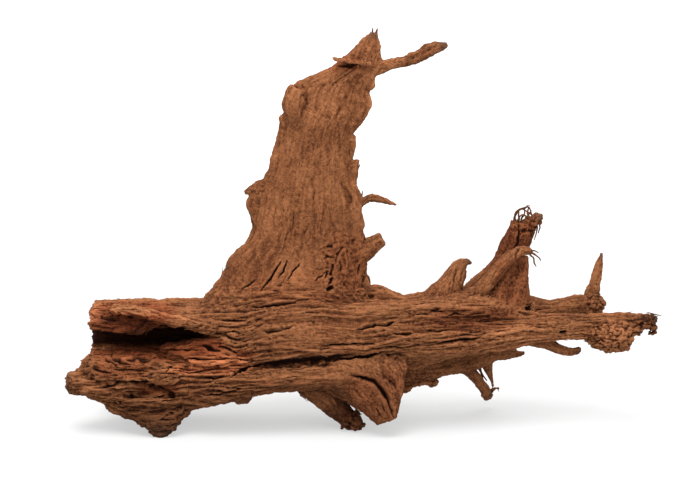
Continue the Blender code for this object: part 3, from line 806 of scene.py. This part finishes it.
marks = {
    # painted shade: how dark the cracks, the cuts and the gap under the beam are painted
    "crackDepth": np.clip(np.maximum(namedDark / 5.0, np.maximum(grooves / 4.0, hairs / 3.4)), 0, 1),
    "ridgeHeight": np.clip((relief + crumbs) / 3.0, -1, 1) * 0.5 + 0.5,
    "hollowShade": np.clip(inside, 0, 1),
    "bladeShare": shares["blade"],
    "limbShare": shares["limb"],
    "knobbly": knobbly,
    "ragged": ragged,
    # painted shade: how far a point lies below its surroundings darkens it
    "cavityFine": cavityOf(points, normals, 3) / 0.5,
    "cavityBroad": cavityOf(points, normals, 24) / 1.6,
}
marks.update((name, spotShare(points, spots)) for name, spots in toneSpots.items())
# Darker tips: (middle, radius).
tipPlaces = [((296, -30, 112), 12), ((258, -34, 88), 6), ((81, -22, 388), 12), ((12, -10, 397), 9),
    ((182, 5, 212), 13), ((165, 10, 215), 12), ((22, -12, 192), 7), ((-299, -44, 50), 20), ((-8, -32, 4), 15),
    ((130, 47, 5), 16), ((222, -25, 79), 9), ((243, 4, 174), 9), ((252, 3, 119), 9), ((30, -55, 15), 10),
    ((-202, -52, 4), 26), ((108, -14, 170), 8), ((136, 40, 11), 10), ((-118, -10, 242), 8)]
tips = np.zeros(count)
for middle, radius in tipPlaces:
    tips = np.maximum(tips, 1 - ramp(np.linalg.norm(points - middle, axis=1), radius * 0.35, radius))
marks["tipShade"] = tips


def storeMarks(data, marks, grains):
    # point attributes: the marks as numbers, the grain coordinates as vectors in cm
    for name, values in marks.items():
        data.attributes.new(name, "FLOAT", "POINT").data.foreach_set("value", values.astype(np.float32))
    for name, values in grains.items():
        layer = data.attributes.new("grain" + name.capitalize(), "FLOAT_VECTOR", "POINT")
        layer.data.foreach_set("vector", (values * 0.1).astype(np.float32).ravel())


skin = placed("driftwoodSkin", meshFrom("driftwoodSkin", points, faces))
storeMarks(skin.data, marks, grains)
triangleCount = 2 * len(faces)
if triangleCount > form["triangles"]:
    thin = skin.modifiers.new("thin", "DECIMATE")
    thin.ratio = form["triangles"] / triangleCount
    skin.data = evaluated(skin)
skin.data.shade_smooth()
print("skin:", len(skin.data.polygons), "faces")

# ---- splinters: loose fibres that lie along the grain ----
splinters = {
    "seed": 19,
    "count": 620,
    "length": (6.0, 19.0),
    "width": (0.45, 1.15),
    "thickness": (0.3, 0.7),
    "lift": (0.0, 2.0),  # of the free end
    "sunk": 0.35,  # the middle below the skin
    "from": (-258, 34),  # mm of x and of height, the least where they lie
    "rings": 6,
    "sides": 5,
    # their own marks: no painted shade of cracks or hollows, and the lighter colour of raised relief
    "marks": {"crackDepth": 0, "ridgeHeight": 0.72, "cavityFine": -0.4, "bladeShare": 0, "limbShare": 0},
}


def grainWay(grain, share):
    # the direction of the grain: a small step along it, with its place across the lines kept
    def rise(name, lineAt, step):
        along, across = grain[name][:, 0], grain[name][:, 1]
        (low, lowSpacing), (high, highSpacing) = lineAt(along - step), lineAt(along + step)
        return high + across * highSpacing - low - across * lowSpacing

    none = np.zeros(len(share))
    stockWay = np.stack([none + 2.0, none, rise("stock", stockLine, 1.0)], axis=1)
    bladeWay = np.stack([rise("blade", bladeLine, 2.0), none, none + 4.0], axis=1)
    way = np.where(share[:, None] > 0.5, bladeWay, stockWay)
    return way / np.linalg.norm(way, axis=1)[:, None]


def splinterSet(facts, rng):
    # flat tubes: middle + way * along + normal * (lift * t^2 - sunk), thinner towards both ends
    chance = (0.25 + ragged + 0.3 * knobbly) * (1 - limbShare) * (1 - 0.85 * shares["blade"])
    chance *= (limbShare < 0.3) & (points[:, 0] > facts["from"][0]) & (points[:, 2] > facts["from"][1])
    host = rng.choice(count, facts["count"], replace=False, p=chance / chance.sum())
    way = grainWay({name: grains[name][host] for name in grains}, shares["blade"][host])
    way += rng.normal(0, 0.07, way.shape)
    up = normals[host]
    way -= up * (way * up).sum(axis=1)[:, None]
    way *= rng.choice([-1.0, 1.0], len(host))[:, None] / np.linalg.norm(way, axis=1)[:, None]
    side = np.cross(up, way)
    size = {name: rng.uniform(*facts[name], len(host)) for name in ("length", "width", "thickness", "lift")}
    t = np.linspace(0, 1, facts["rings"])
    angle = np.arange(facts["sides"]) * 2 * np.pi / facts["sides"]
    taper = np.sin(np.pi * (0.06 + 0.86 * t)) ** 0.7
    along = (t - 0.5) * size["length"][:, None]
    rise = size["lift"][:, None] * t**2 - facts["sunk"]
    middle = points[host][:, None] + way[:, None] * along[..., None] + up[:, None] * rise[..., None]
    wide = (size["width"][:, None] * taper)[..., None] * np.cos(angle)
    tall = (size["thickness"][:, None] * taper)[..., None] * np.sin(angle)
    rings = middle[:, :, None] + side[:, None, None] * wide[..., None] + up[:, None, None] * tall[..., None]
    return host, rings


host, rings = splinterSet(splinters, np.random.default_rng(splinters["seed"]))
splinterPoints, splinterFaces = joined([closedTube(one) for one in rings])
splinterPoints[:, 2] = np.maximum(splinterPoints[:, 2], 0.0)
perTube = len(splinterPoints) // len(host)
splinterMarks = {name: np.repeat(values[host], perTube) for name, values in marks.items()}
for name, value in splinters["marks"].items():
    splinterMarks[name] = np.full(len(splinterPoints), value)
strewn = placed("looseSplinters", meshFrom("looseSplinters", splinterPoints, splinterFaces))
storeMarks(strewn.data, splinterMarks, {"stock": stockGrain(splinterPoints)})
strewn.data.shade_smooth()
print("splinters:", len(host))

# ---- rootlets: fine fibres that stand free, (x, y, z, radius) along each ----
rootlets = {
    "net": [
        [(154, 50, 203, 1.3), (154, 50, 210, 1.1), (157, 50, 216.5, 1), (163, 49, 219.5, 0.9),
         (168.5, 49, 220, 0.8), (171, 48, 214, 0.8), (172, 48, 205, 1)],
        [(156, 49, 202, 1.2), (157, 47, 208, 0.9), (161, 46, 213, 0.8), (166, 46, 211, 0.9),
         (171, 47, 206, 0.9)],
        [(155, 54, 203, 1), (156, 55, 211, 0.8), (162, 56, 217, 0.7), (168, 55, 214, 0.7),
         (175, 52, 209, 0.9)],
        [(157, 50, 201, 1.5), (158.5, 48, 209, 1.2), (158, 50, 217, 0.8)],
        [(162, 49, 201, 1.6), (161, 47, 208, 1.2), (164, 49, 214, 0.9), (163, 50, 219.5, 0.7)],
        [(166, 49, 201, 1.8), (168, 47, 208, 1.4), (167, 49, 215, 1), (168.5, 49, 220, 0.7)],
        [(159, 49, 204, 1.2), (164, 47, 207, 1), (168, 47, 213, 0.9), (171, 48, 218, 0.6)],
        [(162, 46, 203, 2.4), (167, 45, 207, 2.2), (172, 46, 209, 1.8)],
        [(164, 50, 218.5, 0.8), (167, 50, 222, 0.6), (169.5, 50, 221.5, 0.4)],
    ],
    "hanging": [
        [(176, 46, 206, 1), (177, 44, 199, 0.8), (175.5, 43, 193, 0.6), (174, 43, 188, 0.4)],
        [(179, 46, 208, 0.9), (179.5, 44, 200, 0.8), (178, 43, 195, 0.5)],
        [(172, 45, 203, 1), (173, 43, 197, 0.8), (172, 43, 191, 0.5)],
    ],
    "ridge": [
        [(166, 24, 180, 1.2), (172, 22, 178, 1), (177, 21, 174, 0.7), (179, 21, 171, 0.4)],
        [(167, 24, 178, 1.1), (171, 22, 174, 0.9), (172.5, 21, 168, 0.7), (174, 21, 165, 0.4)],
        [(167, 25, 180, 1), (172, 24, 181, 0.8), (176, 24, 179, 0.5)],
    ],
    "crown": [
        [(9, 31, 394, 1.4), (10, 31, 400, 0.9), (10.5, 31, 403, 0.5)],
        [(12, 31, 394, 1.3), (13.5, 31, 399, 0.9), (15, 31, 401.5, 0.5)],
    ],
    "bladeFoot": [
        [(-2, 18, 150, 1.4), (6, 14, 146, 1), (10, 13, 141, 0.6)],
        [(0, 18, 158, 1.4), (6, 15, 156, 1), (8, 14, 150, 0.6)],
    ],
    "rightLeg": [
        [(124, 82, 42, 1.2), (126, 82, 34, 0.9), (129, 83, 26, 0.7), (132, 84, 22, 0.6)],
        [(122, 81, 44, 1.2), (126.5, 81, 36, 0.8), (131, 83, 29, 0.6)],
        [(130, 84, 20, 1.2), (134, 83, 17, 0.9), (137, 83, 21, 0.6), (138, 83, 24, 0.4)],
    ],
    "fringes": [
        [(-62, 30, 338, 1.4), (-60, 28, 346, 1), (-57, 28, 350, 0.5)],
        [(-52, 29, 344, 1.3), (-50, 28, 350, 0.9), (-48, 28, 353, 0.5)],
        [(-8, 29, 232, 1.4), (-1, 27, 236, 1), (1, 27, 241, 0.5)],
        [(-12, 29, 262, 1.3), (-4, 27, 264, 0.9), (-2, 27, 268, 0.5)],
    ],
}
rootletForm = {"sides": 7, "step": 1.6, "wander": 0.5, "wanderSize": 5, "darkness": 0.6}
rootletParts = []
for path in (path for group in rootlets.values() for path in group):
    rows = [(*place, radius, radius) for *place, radius in path]
    rings = carriedProfile(rows, sides=rootletForm["sides"], step=rootletForm["step"])
    rootletParts.append(closedTube(rings + seat))
rootletPoints, rootletFaces = joined(rootletParts)
rootletPoints += rootletForm["wander"] * sway(rootletPoints, [rootletForm["wanderSize"]] * 3, (91, 92, 93))
rootletMarks = {name: np.zeros(len(rootletPoints)) for name in marks}
rootletMarks["darkToneAndShade"] += rootletForm["darkness"]
rootletMarks["ridgeHeight"] += 0.5
threads = placed("fineRootlets", meshFrom("fineRootlets", rootletPoints, rootletFaces))
storeMarks(threads.data, rootletMarks, {"stock": stockGrain(rootletPoints)})
threads.data.shade_smooth()
print("rootlets:", len(rootletParts))


# ---- materials ----
class Wire:
    # a value socket of a material; arithmetic on it adds Math nodes
    def __init__(self, bench, socket):
        self.bench, self.socket = bench, socket

    def maths(self, operation, *values):
        return self.bench.add("ShaderNodeMath", {"operation": operation}, dict(enumerate(values)))

    def __add__(self, other):
        return self.maths("ADD", self, other)

    def __sub__(self, other):
        return self.maths("SUBTRACT", self, other)

    def __rsub__(self, other):
        return self.maths("SUBTRACT", other, self)

    def __mul__(self, other):
        return self.maths("MULTIPLY", self, other)

    def absolute(self):
        return self.bench.add("ShaderNodeMath", {"operation": "ABSOLUTE"}, {0: self})

    def clamped(self):
        return self.bench.add("ShaderNodeClamp", {}, {"Value": self})

    def between(self, low, high):
        # 0 at low, 1 at high
        return self.bench.add("ShaderNodeMapRange", {"interpolation_type": "SMOOTHSTEP"},
                              {"Value": self, "From Min": low, "From Max": high})

    __radd__, __rmul__ = __add__, __mul__


class Bench:
    # one material's nodes
    def __init__(self, name):
        self.material = bpy.data.materials.new(name)
        self.material.use_nodes = True
        self.tree = self.material.node_tree
        self.shader = self.tree.nodes["Principled BSDF"]

    def add(self, kind, settings, values, output=0):
        # a node of one kind: its settings first, then the values or links of its sockets; gives one output
        node = self.tree.nodes.new(kind)
        for name, setting in settings.items():
            setattr(node, name, setting)
        for name, value in values.items():
            self.feed(node.inputs[name], value)
        return Wire(self, node.outputs[output])

    def feed(self, socket, value):
        if isinstance(value, Wire):
            self.tree.links.new(value.socket, socket)
        else:
            socket.default_value = value

    def attribute(self, name, output="Fac"):
        return self.add("ShaderNodeAttribute", {"attribute_name": name}, {}, output)

    def noise(self, place, scale, detail=2.0, rough=0.5, output="Fac"):
        return self.add("ShaderNodeTexNoise", {}, {"Vector": place, "Scale": scale, "Detail": detail,
                                                   "Roughness": rough}, output)

    def stretched(self, place, sizes):
        # the place divided by a size on each axis
        return self.add("ShaderNodeVectorMath", {"operation": "DIVIDE"}, {0: place, 1: sizes})

    def mix(self, share, first, second, blend="MIX"):
        # first to second by share, as colours
        return self.add("ShaderNodeMix", {"data_type": "RGBA", "blend_type": blend},
                        {"Factor": share, "A": first, "B": second}, "Result")


woodTones = {  # linear colours
    "tan": (0.222, 0.087, 0.036, 1),
    "brown": (0.133, 0.0480, 0.0188, 1),
    "umber": (0.062, 0.0195, 0.0074, 1),
    # painted shade in cracks, cuts and deep hollows
    "crack": (0.008, 0.0023, 0.0012, 1),
    "redDeep": (0.046, 0.0074, 0.0030, 1),
    "redLight": (0.215, 0.056, 0.020, 1),
    "orangeDeep": (0.105, 0.0240, 0.0088, 1),
    "orangeLight": (0.430, 0.1400, 0.0560, 1),
    # painted shade inside the left end's hollow
    "inside": (0.012, 0.0028, 0.0012, 1),
    "tip": (0.045, 0.028, 0.019, 1),
    "shade": (0.34, 0.32, 0.32, 1),  # multiplies the darker places: painted shade on undersides and in recesses, and darker wood
    "pale": (1.5, 1.56, 1.6, 1),  # multiplies the paler places: paler wood, and painted highlight on the tops of the ledge and the knob
    "roughness": 0.9,
    "specular": 0.05,
    "bumpHeight": 0.0022,  # m
    "bumpStrength": 0.9,
}


woodNoise = {
    # (sizes along and across the grain in cm, detail)
    "broad": ((6.0, 1.3, 1.3), 2.0),
    "fibre": ((1.3, 0.13, 0.13), 3.0),
    "strand": ((2.4, 0.34, 0.34), 2.0),
    # (how many to the metre, detail, roughness)
    "grit": (720.0, 2.0, 0.6),
    "speck": (330.0, 2.0, 0.6),
    "patches": (24.0, 3.0, 0.55),
}


def woodMaterial():
    bench = Bench("weatheredWood")
    place = bench.add("ShaderNodeTexCoord", {}, {}, "Object")
    bladeShare, limbShare = bench.attribute("bladeShare"), bench.attribute("limbShare")

    def alongGrain(sizes, detail):
        # one noise on each of the three grains, blended by their shares; sizes are in cm along and across
        looks = [bench.noise(bench.stretched(bench.attribute(name, "Vector"), sizes), 1.0, detail, 0.6)
                 for name in ("grainStock", "grainBlade", "grainLimb")]
        return looks[0] * (1 - bladeShare - limbShare) + looks[1] * bladeShare + looks[2] * limbShare

    def lines(noise, width):
        # 1 on the thin lines where a noise crosses its middle
        return (1 - (noise - 0.5).absolute() * (1 / width)).clamped()

    broad, fibre, strand = (alongGrain(*woodNoise[name]) for name in ("broad", "fibre", "strand"))
    grit, speck, patches = (bench.noise(place, *woodNoise[name]) for name in ("grit", "speck", "patches"))
    ridge = bench.attribute("ridgeHeight")
    crack = bench.attribute("crackDepth")
    hollowFine, hollowBroad = bench.attribute("cavityFine"), bench.attribute("cavityBroad")
    plain = 1 - bladeShare * 0.75
    busy = 1 + bench.attribute("ragged") * 0.4 + bench.attribute("knobbly") * 0.7
    hair = lines(fibre, 0.03) * broad.between(0.46, 0.62) * plain
    pits = speck.between(0.37, 0.31) * plain
    grain = ((fibre - 0.5) * 1.1 + (strand - 0.5) * 0.5) * plain + (grit - 0.5) * (1.3 - bladeShare * 0.2)
    grain += (speck - 0.5) * 0.5 + (strand - 0.5) * bladeShare * 0.35
    # the lightness: grain, patches and raised relief, with painted shade in the hollows
    light = (grain - hollowFine * 0.22) * busy + (ridge - 0.5) * 0.35 + (broad - 0.5) * 0.5
    light = (light + (patches - 0.5) * 1.1 + 0.5 - bladeShare * 0.05 - hollowBroad * 0.22).clamped()
    base = bench.mix(light.between(0.05, 0.55), woodTones["umber"], woodTones["brown"])
    base = bench.mix(light.between(0.42, 1.0), base, woodTones["tan"])
    redBase = bench.mix(light, woodTones["redDeep"], woodTones["redLight"])
    base = bench.mix(bench.attribute("redTone") * 0.95, base, redBase)
    orangeBase = bench.mix(light.between(0.15, 0.85), woodTones["orangeDeep"], woodTones["orangeLight"])
    base = bench.mix(bench.attribute("orangeTone") * 0.8, base, orangeBase)
    # painted shade and darker wood: the dark tone mark multiplies in the shade colour
    base = bench.mix(bench.attribute("darkToneAndShade"), base, woodTones["shade"], "MULTIPLY")
    # painted highlight and paler wood: the pale mark multiplies in the pale colour
    base = bench.mix(bench.attribute("paleToneAndHighlight"), base, woodTones["pale"], "MULTIPLY")
    # painted shade: the inside of the hollow gets the near-black inside colour
    base = bench.mix(bench.attribute("hollowShade") * 0.96, base, woodTones["inside"])
    base = bench.mix(bench.attribute("tipShade") * 0.6, base, woodTones["tip"])
    base = bench.mix((hair * 0.45 + pits * 0.35).clamped(), base, woodTones["umber"])
    # painted shade: cracks, cuts, the gap and deep hollows get the near-black crack colour
    base = bench.mix((crack * 1.1 + hollowFine.between(0.4, 1.3) * 0.6).clamped(), base, woodTones["crack"])
    bench.feed(bench.shader.inputs["Base Color"], base)
    bench.feed(bench.shader.inputs["Roughness"], woodTones["roughness"])
    bench.feed(bench.shader.inputs["Specular IOR Level"], woodTones["specular"])
    height = (fibre * 0.9 + strand * 0.5) * plain + grit * 0.55 + speck * 0.5 - hair * 0.35 - pits * 0.2
    bumpFacts = {"Strength": woodTones["bumpStrength"], "Distance": woodTones["bumpHeight"], "Height": height}
    bench.feed(bench.shader.inputs["Normal"], bench.add("ShaderNodeBump", {}, bumpFacts))
    return bench.material


wood = woodMaterial()
for piece in (skin, strewn, threads):
    piece.data.materials.clear()
    piece.data.materials.append(wood)
    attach(piece, "root")
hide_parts("driftwood")
print("wood coloured")

# ---- floor, light and camera ----
studio = {
    "floorSize": 9.0,  # m from the middle to each side
    "floorLines": 9,  # lines of its grid each way
    "floorColour": (0.24, 0.24, 0.24, 1),
    "floorGlow": (0.50, 1.0),  # painted light: the sheet glows though it is no lamp, less under the wood than far from it
    "glowFrom": (0.45, 2.2),  # m from the middle, where the glow starts to grow and where it is full
    "worldStrength": 1.45,
    "aim": (-11.5, -17.0, 188.0),  # mm from the middle of the CAD box's base
    "distance": 1.944,  # m
    "elevation": 12.0,  # degrees
    "lens": 100.0,
}


def levelSheet():
    # a level square grid at the height of the feet
    size = studio["floorSize"] / mm
    across = np.linspace(-size, size, studio["floorLines"])
    x, y = np.meshgrid(across, across)
    corner = np.arange(x.size).reshape(x.shape)
    faces = np.stack([corner[:-1, :-1], corner[:-1, 1:], corner[1:, 1:], corner[1:, :-1]], axis=-1)
    return np.stack([x.ravel(), y.ravel(), np.zeros(x.size)], axis=1), faces.reshape(-1, 4)


floor = placed("floor", meshFrom("floor", *levelSheet()))
paper = Bench("palePaper")
paper.feed(paper.shader.inputs["Base Color"], studio["floorColour"])
paper.feed(paper.shader.inputs["Roughness"], 0.9)
paper.feed(paper.shader.inputs["Specular IOR Level"], 0.0)
fromMiddle = paper.add("ShaderNodeTexCoord", {}, {}, "Object")
distance = paper.add("ShaderNodeVectorMath", {"operation": "LENGTH"}, {0: fromMiddle}, "Value")
# painted light: the floor glows though it is no lamp, less near the wood than far from it
nearGlow, farGlow = ((glow, glow, glow, 1) for glow in studio["floorGlow"])
glowing = paper.mix(distance.between(*studio["glowFrom"]), nearGlow, farGlow)
paper.feed(paper.shader.inputs["Emission Color"], glowing)
paper.feed(paper.shader.inputs["Emission Strength"], 1.0)
floor.data.materials.append(paper.material)

scene = bpy.context.scene
world = bpy.data.worlds.new("studio")
world.use_nodes = True
world.node_tree.nodes["Background"].inputs["Color"].default_value = (1, 1, 1, 1)
world.node_tree.nodes["Background"].inputs["Strength"].default_value = studio["worldStrength"]
scene.world = world

softLights = {
    "keyLight": {"place": (-0.45, -0.85, 2.3), "size": 1.4, "power": 72.0},
    "fillLight": {"place": (1.0, -1.8, 1.4), "size": 1.6, "power": 22.0},
    "backLight": {"place": (0.5, 1.6, 2.2), "size": 1.5, "power": 30.0},
}
for name, facts in softLights.items():
    data = bpy.data.lights.new(name, "AREA")
    data.size, data.energy = facts["size"], facts["power"]
    light = placed(name, data)
    light.location = facts["place"]
    light.rotation_euler = (Vector((0, 0, 0.15)) - light.location).to_track_quat("-Z", "Y").to_euler()

cameraData = bpy.data.cameras.new("camera")
cameraData.lens = studio["lens"]
cameraData.sensor_width = 36.0
camera = placed("camera", cameraData)
aim = Vector((boxBase + np.array(studio["aim"])) * mm)
tilt = math.radians(studio["elevation"])
camera.location = aim + Vector((0, -math.cos(tilt), math.sin(tilt))) * studio["distance"]
camera.rotation_euler = (aim - camera.location).to_track_quat("-Z", "Y").to_euler()
scene.camera = camera
scene.view_settings.view_transform = "Standard"
print("studio set")
